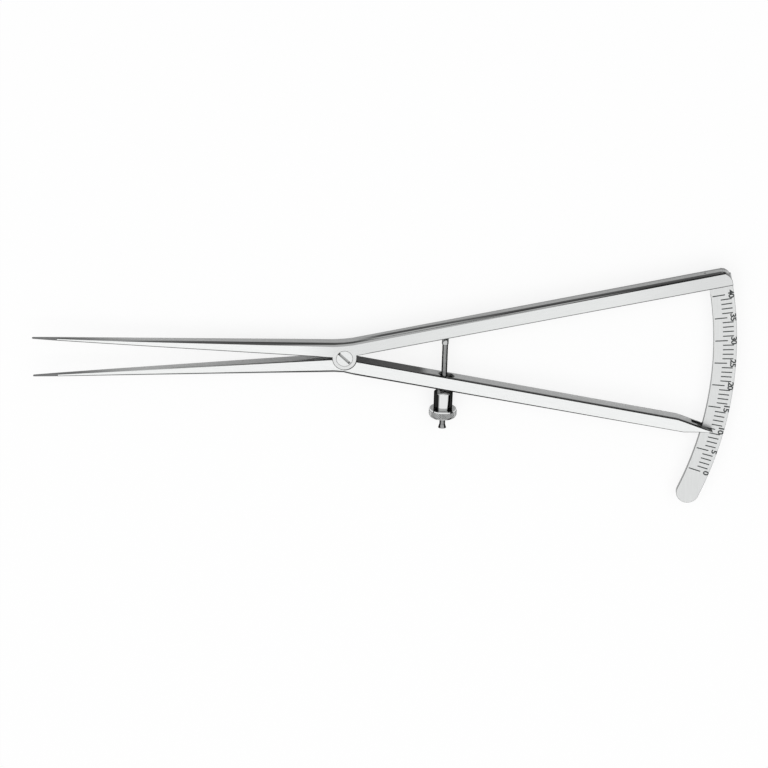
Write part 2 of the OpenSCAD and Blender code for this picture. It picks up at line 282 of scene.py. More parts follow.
def along_spindle(node):
    """Where a node starts and ends along the spindle."""
    reach = [from_rod(vertex.co)[0] for vertex in nodes[node].data.vertices]
    return min(reach), max(reach)


# Building blocks of the materials; an owner is a material or the world
noise_range = (0.3, 0.7)


def new_material(name, colour, roughness, metallic=1.0):
    material = bpy.data.materials.new(name)
    material.use_nodes = True
    shader = material.node_tree.nodes["Principled BSDF"]
    shader.inputs["Base Color"].default_value = (*colour, 1)
    shader.inputs["Roughness"].default_value = roughness
    shader.inputs["Metallic"].default_value = metallic
    return material, shader


def feed(owner, socket, value):
    """Sets a socket to a number or a colour, or links another socket to it."""
    if isinstance(value, bpy.types.NodeSocket):
        owner.node_tree.links.new(value, socket)
    elif isinstance(value, tuple):
        socket.default_value = (*value, 1)
    else:
        socket.default_value = value


def calculate(owner, operation, first, second):
    """One sum on two numbers, each of which is a number or a socket."""
    node = owner.node_tree.nodes.new("ShaderNodeMath")
    node.operation = operation
    feed(owner, node.inputs[0], first)
    feed(owner, node.inputs[1], second)
    return node.outputs[0]


def opposite(owner, share):
    return calculate(owner, "SUBTRACT", 1, share)


def both(owner, first, second):
    return calculate(owner, "MULTIPLY", first, second)


def either(owner, first, second):
    return calculate(owner, "MAXIMUM", first, second)


def mix_colour(material, factor, first, second, blend="MIX"):
    """A colour between two, each of which is a colour or a socket."""
    mix = material.node_tree.nodes.new("ShaderNodeMix")
    mix.data_type = "RGBA"
    mix.blend_type = blend
    feed(material, mix.inputs[0], factor)
    feed(material, mix.inputs[6], first)
    feed(material, mix.inputs[7], second)
    return mix.outputs[2]


def tint(material, shader, colour):
    feed(material, shader.inputs["Base Color"], colour)


def shade(colour, share):
    return tuple(channel * share for channel in colour)


def object_place(material, turn=0.0):
    """Object coordinates in a frame turned round Z."""
    place = material.node_tree.nodes.new("ShaderNodeTexCoord")
    mapping = material.node_tree.nodes.new("ShaderNodeMapping")
    mapping.inputs["Rotation"].default_value = (0, 0, -turn)
    feed(material, mapping.inputs["Vector"], place.outputs["Object"])
    return mapping.outputs["Vector"]


def on_axis(material, axis, turn=0.0):
    """One of the coordinates in a frame turned round Z."""
    axes = material.node_tree.nodes.new("ShaderNodeSeparateXYZ")
    feed(material, axes.inputs["Vector"], object_place(material, turn))
    return axes.outputs[axis]


def rise_between(material, value, low, high, interpolation="SMOOTHSTEP"):
    """Rises from zero to one between two values."""
    rise = material.node_tree.nodes.new("ShaderNodeMapRange")
    rise.interpolation_type = interpolation
    rise.inputs["From Min"].default_value = low
    rise.inputs["From Max"].default_value = high
    feed(material, rise.inputs["Value"], value)
    return rise.outputs["Result"]


def along_axis(material, axis, low, high, turn=0.0):
    """Rises from zero to one between two places on an axis, in a frame turned round Z."""
    return rise_between(material, on_axis(material, axis, turn), low, high)


def above_depth(material, deep, shallow):
    """Rises from zero to one between two depths below the levers' front."""
    return along_axis(material, "Z", lever_front - deep, lever_front - shallow)


def beside_rod(material, low, high):
    """Rises from zero to one between two distances beside the spindle's centre line, seen from the front."""
    turn = math.atan2(spindle_dir.y, spindle_dir.x)
    centre = -hinge.x * math.sin(turn) + hinge.y * math.cos(turn)
    aside = calculate(material, "SUBTRACT", on_axis(material, "Y", turn), centre)
    return rise_between(material, calculate(material, "ABSOLUTE", aside, 0), low, high)


def round_rod(material, low, high):
    """Rises from zero to one between two distances from the spindle's centre line, all round it."""
    socket = object_place(material)
    for operation, value in (("SUBTRACT", hinge), ("CROSS_PRODUCT", spindle_dir), ("LENGTH", None)):
        step = material.node_tree.nodes.new("ShaderNodeVectorMath")
        step.operation = operation
        feed(material, step.inputs[0], socket)
        if value is not None:
            step.inputs[1].default_value = value
        socket = step.outputs["Value" if operation == "LENGTH" else "Vector"]
    return rise_between(material, socket, low, high, "LINEAR")


def object_noise(material, stretch, turn=0.0, detail=4.0):
    """Noise on object coordinates, stretched along and across a direction in the XY plane."""
    scaling = material.node_tree.nodes.new("ShaderNodeMapping")
    scaling.inputs["Scale"].default_value = stretch
    feed(material, scaling.inputs["Vector"], object_place(material, turn))
    noise = material.node_tree.nodes.new("ShaderNodeTexNoise")
    noise.inputs["Scale"].default_value = 1.0
    noise.inputs["Detail"].default_value = detail
    feed(material, noise.inputs["Vector"], scaling.outputs["Vector"])
    return noise.outputs["Fac"]


def vary_roughness(material, shader, noise, low, high):
    """Lets the roughness follow a noise between two values."""
    spread = material.node_tree.nodes.new("ShaderNodeMapRange")
    spread.inputs["From Min"].default_value = noise_range[0]
    spread.inputs["From Max"].default_value = noise_range[1]
    spread.inputs["To Min"].default_value = low
    spread.inputs["To Max"].default_value = high
    feed(material, spread.inputs["Value"], noise)
    feed(material, shader.inputs["Roughness"], spread.outputs["Result"])


def bump(material, shader, noise, height):
    node = material.node_tree.nodes.new("ShaderNodeBump")
    node.inputs["Strength"].default_value = 1.0
    node.inputs["Distance"].default_value = height
    feed(material, node.inputs["Height"], noise)
    feed(material, shader.inputs["Normal"], node.outputs["Normal"])


# Satin steel. A stretch counts a pattern's cells to the metre, and a shade is a share of the plain colour
steel = (0.780, 0.790, 0.787)
grain_stretch = (250, 5500, 5500)
grain_shades = (0.93, 1.07)
speckle_stretch = (5200, 5200, 5200)
speckle_height = 0.0012 * MM
speckle_roughness = (-0.05, 0.06)


def grained(material, colour, turn):
    """A colour with faint streaks along a direction."""
    grain = object_noise(material, grain_stretch, turn)
    return mix_colour(material, grain, shade(colour, grain_shades[0]), shade(colour, grain_shades[1]))


def speckled(material, shader, roughness):
    """Gives a finish fine, barely raised specks."""
    speckle = object_noise(material, speckle_stretch, detail=2.0)
    vary_roughness(material, shader, speckle, *(roughness + change for change in speckle_roughness))
    bump(material, shader, speckle, speckle_height)


def brushed(name, colour, roughness, turn):
    """Fine satin with a faint lengthwise grain."""
    material, shader = new_material(name, colour, roughness)
    tint(material, shader, grained(material, colour, turn))
    speckled(material, shader, roughness)
    return material


# The fixed lever's front: its levels at places along X, a painted reflection that makes the front lighter or
# darker along the lever, and a painted dark line that follows its inner edges, standing for the dark
# reflection in their rounding
fixed_front_painted_levels = ((-70 * MM, 1.0), (-12 * MM, 1.0), (-2 * MM, 0.84), (8 * MM, 0.83), (40 * MM, 0.87),
                      (70 * MM, 0.88), (90 * MM, 0.79))
levels_reach = 100 * MM
edge_line_start = (5 * MM, 7 * MM)
edge_line_w = 0.22 * MM
edge_line_fade = 0.1 * MM
edge_line_painted_shade = 0.3


def levels_along(material, colour, levels):
    """Multiplies a colour by the levels that are given at places along X."""
    ramp = material.node_tree.nodes.new("ShaderNodeValToRGB")
    feed(material, ramp.inputs["Fac"],
         rise_between(material, on_axis(material, "X"), -levels_reach, levels_reach, "LINEAR"))
    steps = ramp.color_ramp.elements
    for place, level in levels:
        step = steps.new((place + levels_reach) / (2 * levels_reach))
        step.color = (level, level, level, 1)
    steps.remove(steps[0])
    steps.remove(steps[len(steps) - 1])
    return mix_colour(material, 1, colour, ramp.outputs["Color"], "MULTIPLY")


def fixed_front(name, colour, roughness):
    """Satin with painted reflection levels along the lever, and a thin painted dark line on the inner edges
    of arm and leg, standing for the dark reflection in their rounding.
    """
    material, shader = new_material(name, colour, roughness)
    # Painted reflection: the front's colour is made lighter or darker along the lever
    plain = levels_along(material, grained(material, colour, arm_angle), fixed_front_painted_levels)
    # Painted reflection: a dark line along the inner edges of arm and leg
    line = 0
    for turn, edge, side in ((arm_angle, arm_relief, 1), (-half_opening, leg_relief, -1)):
        start = along_axis(material, "X", side * edge_line_start[0], side * edge_line_start[1], turn)
        line_end = edge + edge_line_w
        beyond = along_axis(material, "Y", line_end, line_end + edge_line_fade, turn)
        line = either(material, line, both(material, start, opposite(material, beyond)))
    tint(material, shader, mix_colour(material, line, plain, shade(colour, edge_line_painted_shade)))
    speckled(material, shader, roughness)
    return material


# Ground sides, and how dark their painted bands are, where one is fully dark: painted reflections of dark
# surroundings near the edges and on the needle tips, and painted shade where the arms stand close
side_roughness = 0.12
painted_band_shade = 0.05
needle_darkness = 0.7
fixed_leg_darkness = 0.85
pointer_leg_darkness = 0.6
back_edge_darkness = 0.5

# The places along X between which the bands start or end
needle_zone = (-72 * MM, -50 * MM)
arm_start = (2 * MM, 10 * MM)
wide_band_end = (20 * MM, 45 * MM)
clear_strip_end = (50 * MM, 80 * MM)
past_disc = (1 * MM, 3 * MM)
rod_hole_start = (19 * MM, 22 * MM)
prong_start = (90.7 * MM, 91.3 * MM)

# The bands' edges, each fading between two depths below the levers' front, and one between two heights
wide_band_depth = (2.2 * MM, 1.95 * MM)
fixed_arm_depth = (1.75 * MM, 1.45 * MM)
fixed_leg_depth = (1.1 * MM, 0.8 * MM)
wide_strip_depth = (0.85 * MM, 0.7 * MM)
strip_depth = (0.4 * MM, 0.25 * MM)
pointer_arm_depth = (1.1 * MM, 0.8 * MM)
pointer_leg_depth = (0.6 * MM, 0.4 * MM)
back_edge_height = (0.7 * MM, 1.3 * MM)


def ground_colour(material, shader, colour, turn, band):
    """Lengthwise grain, with a painted dark band and a painted dark reflection towards the needle tip."""
    # Painted reflection: darker towards the needle tip
    tip = both(material, needle_darkness, opposite(material, along_axis(material, "X", *needle_zone)))
    dark = either(material, band, tip)
    plain = grained(material, colour, turn)
    tint(material, shader, mix_colour(material, dark, plain, shade(colour, painted_band_shade)))


def fixed_sides(name, colour):
    """Ground sides: a painted dark band near the front edge, standing for the reflection of dark
    surroundings, under a clear strip near the joint, and a painted dark reflection towards the back edge.
    """
    material, shader = new_material(name, colour, side_roughness)
    arm = along_axis(material, "X", *arm_start)
    near_joint = opposite(material, along_axis(material, "X", *clear_strip_end))
    wide = both(material, arm, opposite(material, along_axis(material, "X", *wide_band_end)))
    # Painted reflection: a dark band below the front edge
    band = either(material, above_depth(material, *fixed_leg_depth),
                  both(material, arm, above_depth(material, *fixed_arm_depth)))
    band = either(material, band, both(material, wide, above_depth(material, *wide_band_depth)))
    strip = either(material, above_depth(material, *strip_depth),
                   both(material, wide, above_depth(material, *wide_strip_depth)))
    band = both(material, band, opposite(material, both(material, strip, near_joint)))
    arm_gain = both(material, 1 - fixed_leg_darkness, arm)
    band = both(material, band, calculate(material, "ADD", fixed_leg_darkness, arm_gain))
    # Painted reflection: darker towards the back edge
    low = opposite(material, along_axis(material, "Z", *back_edge_height))
    band = either(material, band, both(material, back_edge_darkness, low))
    ground_colour(material, shader, colour, arm_angle, band)
    return material


def pointer_sides(name, colour):
    """Ground sides: a painted dark reflection along the front edge, painted shade where the arms stand close
    together, and painted shade on the index prong's side over the scale.
    """
    material, shader = new_material(name, colour, side_roughness)
    arm = along_axis(material, "X", *past_disc)
    # Painted shade where the arms stand close together, before the rod's hole
    before_hole = opposite(material, along_axis(material, "X", *rod_hole_start))
    arm_band = either(material, above_depth(material, *pointer_arm_depth), before_hole)
    leg_band = both(material, pointer_leg_darkness, above_depth(material, *pointer_leg_depth))
    # Painted shade on the prong's side where it lies over the scale
    on_prong = along_axis(material, "X", *prong_start)
    band = either(material, leg_band, either(material, on_prong, both(material, arm, arm_band)))
    ground_colour(material, shader, colour, -arm_angle, band)
    return material


# Polished steel, with a painted dark reflection at the sides of the spindle's round pieces
haze_stretch = (700, 700, 700)
haze_roughness = (0.7, 1.4)
haze_shades = (0.96, 1.03)
side_reflection_blend = 0.2
side_reflection_shade = 0.04
dull_specular = 0.35
knurl_valley_shade = 0.3


def hazy(material, shader, roughness):
    """Makes a polish uneven in soft patches, and returns their pattern."""
    haze = object_noise(material, haze_stretch, detail=5.0)
    vary_roughness(material, shader, haze, *(roughness * share for share in haze_roughness))
    return haze


def polished(name, colour, roughness, dark_reflection_beside=None):
    """Polished steel, on the spindle's pieces painted dark beyond a distance beside the centre line, a
    painted reflection of dark surroundings at their round sides.
    """
    material, shader = new_material(name, colour, roughness)
    haze = hazy(material, shader, roughness)
    plain = mix_colour(material, haze, shade(colour, haze_shades[0]), shade(colour, haze_shades[1]))
    if dark_reflection_beside:
        # Painted reflection: darker beyond a distance beside the rod's centre line
        painted_side_reflection = beside_rod(material, dark_reflection_beside * (1 - side_reflection_blend), dark_reflection_beside * (1 + side_reflection_blend))
        plain = mix_colour(material, painted_side_reflection, plain, shade(colour, side_reflection_shade))
        shader.inputs["Specular Tint"].default_value = (dull_specular, dull_specular, dull_specular, 1)
    tint(material, shader, plain)
    return material


def knurled(name, colour, roughness):
    """Bright crests, darker towards the valleys."""
    material, shader = new_material(name, colour, roughness)
    hazy(material, shader, roughness)
    # Darker towards the valleys, by the distance from the rod's centre line
    crest = round_rod(material, knurl_valley_r, flange_d / 2)
    tint(material, shader, mix_colour(material, crest, shade(colour, knurl_valley_shade), colour))
    return material


# Filling of the scale's lines and numbers
fill_colour = (0.05, 0.055, 0.055)
fill_stretch = (9000, 9000, 9000)
fill_speckle_height = 0.002 * MM


def dark_fill(name):
    """Dull and dark, with a fine roughness of its surface."""
    material, shader = new_material(name, fill_colour, 0.6, 0.0)
    shader.inputs["Specular IOR Level"].default_value = 0.2
    bump(material, shader, object_noise(material, fill_stretch, detail=2.0), fill_speckle_height)
    return material


# The finishes of all pieces
fixed_satin = fixed_front("fixed_lever_satin", shade(steel, 1.16), 0.32)
# Painted reflection: the levers' sides are darker copies of the fronts' steel, standing for the darker
# surroundings they reflect
fixed_sides_painted_reflection = fixed_sides("fixed_lever_ground_sides", shade(steel, 0.5))
pointer_satin = brushed("pointer_lever_satin", shade(steel, 1.13), 0.32, -arm_angle)
pointer_sides_painted_reflection = pointer_sides("pointer_lever_ground_sides", shade(steel, 0.52))
# Painted shade: a near-black copy of the steel inside the index slot and the rod's hole, where shade falls
slot_steel = brushed("milled_slot", shade(steel, 0.1), 0.3, -arm_angle)
# Painted reflection: the needle tips are a dark copy of the steel, standing for their round sides reflecting
# dark surroundings
needle_steel = brushed("needle_steel", shade(steel, 0.25), 0.2, 0.0)
scale_satin = brushed("scale_satin", shade(steel, 0.95), 0.38, math.radians(90))
# Painted reflection: the scale's edges, sides and back are a dark copy of the steel, standing for the dark
# surroundings they reflect
scale_edges_painted_dark = brushed("scale_ground_edges", shade(steel, 0.3), 0.2, math.radians(90))
# Painted reflection: the sleeve and the spindle's pieces are painted dark beyond the given distance beside
# the rod
sleeve_steel = polished("sleeve_steel", shade(steel, 1.02), 0.06, 1.15 * MM)
# Painted highlight: the dome is a brighter copy of the sleeve's steel, itself painted dark at its sides
dome_steel = polished("dome_steel", shade(steel, 1.2), 0.4, 1.5 * MM)
# Painted reflection: the shank, thread and flare are lighter and darker copies of one steel on the one
# spindle
shank_steel = polished("shank_steel", shade(steel, 0.72), 0.1, 0.7 * MM)
thread_steel = polished("thread_steel", shade(steel, 0.42), 0.2, 0.42 * MM)
flare_steel = polished("flare_steel", shade(steel, 0.42), 0.15, 0.5 * MM)
knurl_steel = knurled("knurl_steel", shade(steel, 1.22), 0.1)
# Painted reflection and highlight: the nut's turned faces are a darker copy and its chamfer a brighter copy
# of one steel
turned_steel = polished("turned_steel", shade(steel, 0.6), 0.15)
chamfer_steel = polished("chamfer_steel", shade(steel, 1.05), 0.15)
screw_steel = polished("screw_steel", shade(steel, 1.06), 0.25)
# Painted shade: a darker copy of the screw's steel below its head's face, in the slot
screw_slot_steel = polished("screw_slot", shade(steel, 0.55), 0.35)
# Painted light: a brighter copy of the steel on the pocket's walls, which lifts the shade inside it
pocket_steel = polished("pocket_steel", shade(steel, 1.1), 0.35)
pin_steel = polished("pin_steel", shade(steel, 0.15), 0.3)
graduation_fill = dark_fill("graduation_fill")


# Levers: the front and back are satin, the sides ground and given a darker copy of the same steel, a painted
# reflection of darker surroundings
def on_front_circle(point, radius):
    """True on the levers' front at a radius from the pivot."""
    on_circle = abs(math.hypot(point.x, point.y) - radius) < circle_slack
    return at_height(point, lever_front) and on_circle


def on_fixed_edge(point):
    """True on the front edges of the disc, the countersink and the arm's rounded end."""
    on_disc = on_front_circle(point, disc_r) and point.y < disc_top
    past_end = math.hypot(point.x, point.y) > arm_end_reach and point.x > 0
    at_end = at_height(point, lever_front) and past_end
    return on_disc or at_end or on_front_circle(point, countersink_r)


def on_pointer_edge(point):
    """True on the front edge of the recess round the disc."""
    return on_front_circle(point, recess_r)


def on_hole_rim(point):
    """True on the inner rim of the pointer arm's oblong hole."""
    reach, aside = from_rod(point)
    at_rim = hole_rim_reach[0] < reach < hole_rim_reach[1] and aside < hole_rim_r
    return at_rim and abs(point.z - hinge.z) < hole_rim_height


def in_index_slot(face):
    """True inside the slot between the two prongs."""
    point = face.center
    level = index_slot_z[0] - hair < point.z < index_slot_z[1] + hair
    return level and point.y < 0 and point.x > index_slot_reach and abs(face.normal.y) < 0.6


def in_rod_hole(face):
    """True on the walls and the countersink of the pointer arm's oblong hole."""
    reach, aside = from_rod(face.center)
    inside = abs(face.normal.dot(spindle_dir)) < 0.9 and abs(face.center.z - hinge.z) < hole_height
    return reach > hole_reach and aside < hole_r and inside


def in_pocket(face):
    """True inside the fixed arm's pocket for the spindle's eye."""
    reach, aside = from_rod(face.center)
    inside = abs(face.normal.dot(spindle_dir)) < 0.7 and not is_front(face)
    return reach < pocket_reach and aside < pocket_r and inside


def fixed_lever_finish(face):
    # Painted light on the pocket's walls
    if in_pocket(face):
        return pocket_steel
    # Painted reflection on the needle tip
    if face.center.x < -needle_reach:
        return needle_steel
    return fixed_satin if is_front(face) else fixed_sides_painted_reflection


def pointer_lever_finish(face):
    # Painted reflection on the needle tip
    if face.center.x < -needle_reach:
        return needle_steel
    # Painted shade inside the index slot and the rod's hole
    if in_index_slot(face) or in_rod_hole(face) and not is_front(face):
        return slot_steel
    return pointer_satin if is_front(face) else pointer_sides_painted_reflection


def dress_lever(node, name, body, edge_breaks, materials, choose):
    lever = cad_copy(node, name)
    for on_edge, width, segments in edge_breaks:
        soften(lever, width, on_edge, segments)
    smooth(lever, math.radians(32), flat_fronts=True)
    paint(lever, materials, choose)
    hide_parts(node)
    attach(lever, body)


dress_lever("fixed_lever", "fixed_lever_dressed", "fixed_body",
            [(on_fixed_edge, front_edge_break, 2)],
            [fixed_satin, fixed_sides_painted_reflection, needle_steel, pocket_steel], fixed_lever_finish)
dress_lever("pointer_lever", "pointer_lever_dressed", "pointer_body",
            [(on_pointer_edge, front_edge_break, 2), (on_hole_rim, hole_rim_break, 1)],
            [pointer_satin, pointer_sides_painted_reflection, slot_steel, needle_steel], pointer_lever_finish)


# Scale
def polar(radius, angle, z):
    return Vector((radius * math.cos(angle), radius * math.sin(angle), z))


def on_scale_rim(point):
    """True for points of the scale's face that lie on its outline."""
    reach = math.hypot(point.x, point.y)
    end = polar(scale_mid_r, tail_angle, point.z)
    on_arc = min(abs(reach - scale_inner_r), abs(reach - scale_outer_r)) < rim_slack
    on_tail = abs((point - end).length - scale_w / 2) < rim_slack
    return at_height(point, scale_front) and (on_arc or on_tail)


def dress_scale():
    plate = cad_copy("scale_plate", "scale_dressed")
    soften(plate, front_edge_break, on_scale_rim)
    smooth(plate, flat_fronts=True)
    paint(plate, [scale_satin, scale_edges_painted_dark], lambda face: scale_satin if is_front(face) else scale_edges_painted_dark)
    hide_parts("scale_plate")
    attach(plate, "fixed_body")


def line_fill(gap):
    """The dark fill of the line for one gap between the tips."""
    start, end = fifth_line if gap % 5 == 0 else other_line
    length = scale_w * (end - start)
    depth = line_depth * fill_depth_share
    angle = zero_angle + opening(gap * MM)
    deselect_all()
    bpy.ops.mesh.primitive_cube_add(size=1)
    fill = bpy.context.active_object
    ends = fill.data.vertices
    edit(fill, "EDGE")
    pick(fill, "edges", lambda e: abs(ends[e.vertices[0]].co.z - ends[e.vertices[1]].co.z) > 0.5)
    bpy.ops.mesh.bevel(offset=fill_corner_share, segments=2)
    leave_edit()
    centre = polar(scale_inner_r + scale_w * start + length / 2, angle, scale_front - line_depth + depth / 2)
    size = Matrix.Diagonal((length * fill_length_share, line_w * fill_width_share, depth, 1))
    apply_place(fill, Matrix.Translation(centre) @ Matrix.Rotation(angle, 4, "Z") @ size)
    return fill


def graduation_fills():
    """Dark fill in each of the scale's lines."""
    fill = join([line_fill(gap) for gap in range(full_reading + 1)], "graduation_fill")
    paint(fill, [graduation_fill])
    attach(fill, "fixed_body")


def scale_number(gap):
    """A plain number, its top towards the scale's outer edge."""
    deselect_all()
    bpy.ops.object.text_add()
    number = bpy.context.active_object
    number.data.body = str(gap)
    number.data.align_x = "CENTER"
    number.data.align_y = "CENTER"
    number.data.size = number_height / digit_share
    number.data.space_character = number_spacing
    number.data.offset = number_weight
    number.data.extrude = number_rise
    number.data.resolution_u = 6
    take(number)
    bpy.ops.object.convert(target="MESH")
    number = bpy.context.active_object
    angle = zero_angle + opening(gap * MM)
    centre = polar(scale_inner_r + scale_w * number_share, angle, scale_front)
    turn = Matrix.Rotation(angle - math.pi / 2, 4, "Z")
    apply_place(number, Matrix.Translation(centre) @ turn @ Matrix.Diagonal((number_stretch, 1, 1, 1)))
    return number


def scale_numbers():
    """Numbers at every fifth line."""
    number = join([scale_number(gap) for gap in range(0, full_reading + 1, 5)], "scale_numbers")
    paint(number, [graduation_fill])
    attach(number, "fixed_body")


dress_scale()
graduation_fills()
scale_numbers()


# Pivot screw, pins and thrust sleeve
def screw_finish(face):
    """A darker copy of the steel below the head's face, painted shade in the slot."""
    return screw_slot_steel if face.center.z < lever_front - 0.1 * MM else screw_steel


def sleeve_finish(face):
    """The domed end looks towards the hinge; it gets a brighter copy of the sleeve's steel, a painted
    highlight.
    """
    return dome_steel if face.normal.dot(spindle_dir) < -0.2 else sleeve_steel


def dress_small(node, name, body, edge, materials, choose=None):
    piece = cad_copy(node, name)
    break_edges(piece, edge)
    smooth(piece)
    paint(piece, materials, choose)
    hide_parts(node)
    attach(piece, body)


dress_small("pivot_screw", "pivot_screw_dressed", "pointer_body", 0.05 * MM,
            [screw_steel, screw_slot_steel], screw_finish)
dress_small("scale_pin", "scale_pin_dressed", "fixed_body", 0.03 * MM, [pin_steel])
dress_small("spindle_pin", "spindle_pin_dressed", "fixed_body", 0.03 * MM, [pin_steel])
dress_small("thrust_sleeve", "thrust_sleeve_dressed", "sleeve_body", 0.06 * MM,
            [sleeve_steel, dome_steel], sleeve_finish)


# Spindle: the node's eye, shank and flare, with a cut thread between them
def cut_off(place, direction, side):
    """Cuts the piece in edit mode through a place and closes the cut; side is clear_inner or clear_outer."""
    bpy.ops.mesh.select_all(action="SELECT")
    bpy.ops.mesh.bisect(plane_co=place, plane_no=direction, use_fill=True, **{side: True})


def spindle_part(name, reach, side):
    """The spindle's node up to or from a distance from its hinge."""
    part = cad_copy("spindle", name)
    edit(part)
    cut_off(hinge + spindle_dir * reach, spindle_dir, side)
    leave_edit()
    return part


def thread_profile(name):
    """One turn's outline, drawn point by point from a corner of a plane."""
    crest = thread_d / 2
    root = crest - thread_depth
    outline = [(root, 0), (root, thread_root_end), (crest, thread_crest_start),
               (crest, 1 - thread_crest_start), (root, 1 - thread_root_end), (root, 1)]
    points = [Vector((radius, 0, share * thread_pitch)) for radius, share in outline]
    deselect_all()
    bpy.ops.mesh.primitive_plane_add(size=thread_d)
    profile = bpy.context.active_object
    profile.name = name
    edit(profile)
    pick(profile, "vertices", lambda v: v.index > 0)
    bpy.ops.mesh.delete(type="VERT")
    bpy.ops.mesh.select_all(action="SELECT")
    corner = Vector((-thread_d / 2, -thread_d / 2, 0))
    bpy.ops.transform.translate(value=points[0] - corner)
    for before, after in zip(points, points[1:]):
        bpy.ops.mesh.extrude_region_move(TRANSFORM_OT_translate={"value": after - before})
    leave_edit()
    return profile


def thread(name):
    """A 60 degree thread swept by the screw modifier, cut off square at both ends."""
    part = thread_profile(name)
    screw = part.modifiers.new("helix", "SCREW")
    screw.axis = "Z"
    screw.angle = math.tau
    screw.screw_offset = thread_pitch
    screw.iterations = math.ceil((thread_to - thread_from) / thread_pitch) + 2
    screw.steps = thread_steps
    screw.render_steps = thread_steps
    apply_modifiers(part)
    apply_place(part, Matrix.Translation((0, 0, thread_from - thread_pitch)))
    edit(part)
    bpy.ops.mesh.select_all(action="SELECT")
    bpy.ops.mesh.remove_doubles(threshold=hair)
    cut_off((0, 0, thread_from), (0, 0, 1), "clear_inner")
    cut_off((0, 0, thread_to), (0, 0, 1), "clear_outer")
    bpy.ops.mesh.select_all(action="SELECT")
    bpy.ops.mesh.normals_make_consistent(inside=False)
    leave_edit()
    apply_place(part, spindle_place)
    return part


def spindle_finish(face):
    reach = from_rod(face.center)[0]
    # Lighter and darker copies of one steel along the rod, painted reflection
    if reach < thread_from:
        return shank_steel
    return thread_steel if reach < thread_to else flare_steel


def dress_spindle():
    shank = spindle_part("spindle_dressed", thread_from, "clear_outer")
    flare = spindle_part("spindle_flare", thread_to, "clear_inner")
    spindle = join([shank, thread("spindle_thread"), flare], "spindle_dressed")
    smooth(spindle, math.radians(40))
    paint(spindle, [shank_steel, thread_steel, flare_steel], spindle_finish)
    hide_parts("spindle")
    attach(spindle, "spindle_body")


dress_spindle()


# Knurled nut
hub_start, flange_end = along_spindle("knurled_nut")
flange_middle = flange_end - flange_t / 2
hub_l = flange_end - flange_t - hub_start


def on_crest(vertex):
    """True on every second crossing of the knurl."""
    row = round((vertex.co.z / knurl_w + 0.5) * knurl_rows)
    column = round(math.atan2(vertex.co.y, vertex.co.x) / math.tau * 2 * knurl_teeth)
    return (row + column) % 2 == 0 and 0 < row < knurl_rows


def knurled_drum(name):
    """A drum round Z whose rim carries a diamond knurl, left in edit mode."""
    deselect_all()
    bpy.ops.mesh.primitive_cylinder_add(vertices=2 * knurl_teeth, radius=knurl_valley_r, depth=knurl_w)
    drum = bpy.context.active_object
    drum.name = name
    ends = drum.data.vertices
    edit(drum, "EDGE")
    pick(drum, "edges", lambda e: abs(ends[e.vertices[0]].co.z - ends[e.vertices[1]].co.z) > knurl_w / 2)
    bpy.ops.mesh.subdivide(number_cuts=knurl_rows - 1)
    bpy.ops.mesh.select_mode(type="VERT")
    pick(drum, "vertices", on_crest)
    grow = flange_d / 2 / knurl_valley_r
    bpy.ops.transform.resize(value=(grow, grow, 1))
    bpy.ops.mesh.select_mode(type="FACE")
    pick(drum, "polygons", lambda f: abs(f.normal.z) < 0.8)
    bpy.ops.mesh.quads_convert_to_tris(quad_method="SHORTEST_DIAGONAL")
    return drum


def turn_end(nut, side, step_r, rise):
    """Turns a chamfer, a face and its step on the outer side, 1, or the inner one, -1, and opens the bore."""
    z = side * knurl_w / 2
    cuts = ((knurl_valley_r, flange_bevel, flange_rim_r), (flange_rim_r, 0, step_r), (step_r, rise, step_r),
            (step_r, 0, nut_bore_d / 2))
    pick(nut, "polygons", lambda f: f.normal.z * side > 0.8 and len(f.vertices) > 4)
    for start_r, move, end_r in cuts:
        bpy.ops.mesh.extrude_region_move(TRANSFORM_OT_translate={"value": (0, 0, side * move)})
        z += side * move
        if end_r != start_r:
            ratio = end_r / start_r
            bpy.ops.transform.resize(value=(ratio, ratio, 1), center_override=(0, 0, z))
    bpy.ops.mesh.delete(type="FACE")


def bridge_bore():
    """Joins the two mouths of the bore."""
    bpy.ops.mesh.select_mode(type="EDGE")
    bpy.ops.mesh.select_all(action="DESELECT")
    bpy.ops.mesh.select_non_manifold()
    bpy.ops.mesh.bridge_edge_loops()
    bpy.ops.mesh.select_all(action="SELECT")
    bpy.ops.mesh.normals_make_consistent(inside=False)


def nut_finish(face):
    """A darker copy of the steel on the turned outside, a painted reflection, and a brighter copy on the
    inner chamfer beside the knurl, a painted highlight.
    """
    reach = from_rod(face.center)[0] - flange_middle
    square = abs(face.normal.dot(spindle_dir)) > 0.9
    if square or reach > knurl_w / 2:
        return turned_steel
    return chamfer_steel if reach < -knurl_w / 2 else knurl_steel


def dress_nut():
    nut = knurled_drum("knurled_nut_dressed")
    turn_end(nut, 1, recess_d / 2, -recess_depth)
    turn_end(nut, -1, hub_d / 2, hub_l)
    bridge_bore()
    leave_edit()
    apply_place(nut, spindle_place @ Matrix.Translation((0, 0, flange_middle)))
    smooth(nut, math.radians(20))
    paint(nut, [knurl_steel, turned_steel, chamfer_steel], nut_finish)
    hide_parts("knurled_nut")
    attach(nut, "nut_body")


dress_nut()


# Stage: a pale floor, dark cards round the table, one light and an even surround, in metres
floor_size = 4
floor_gap = 0.02 * MM
seen_whiteness = 0.8
reflected_whiteness = 0.2
card_distance = 1.4
card_foot = -0.01
card_height = math.radians(20)
card_swing = math.radians(8)
card_dip = math.radians(10)
card_dip_width = math.radians(32)
light_w = 1.5
light_d = 1.4
light_level = 0.9
light_place = (0, -0.1, 0.7)
surround_light = 0.5
surround_seen = 1.0


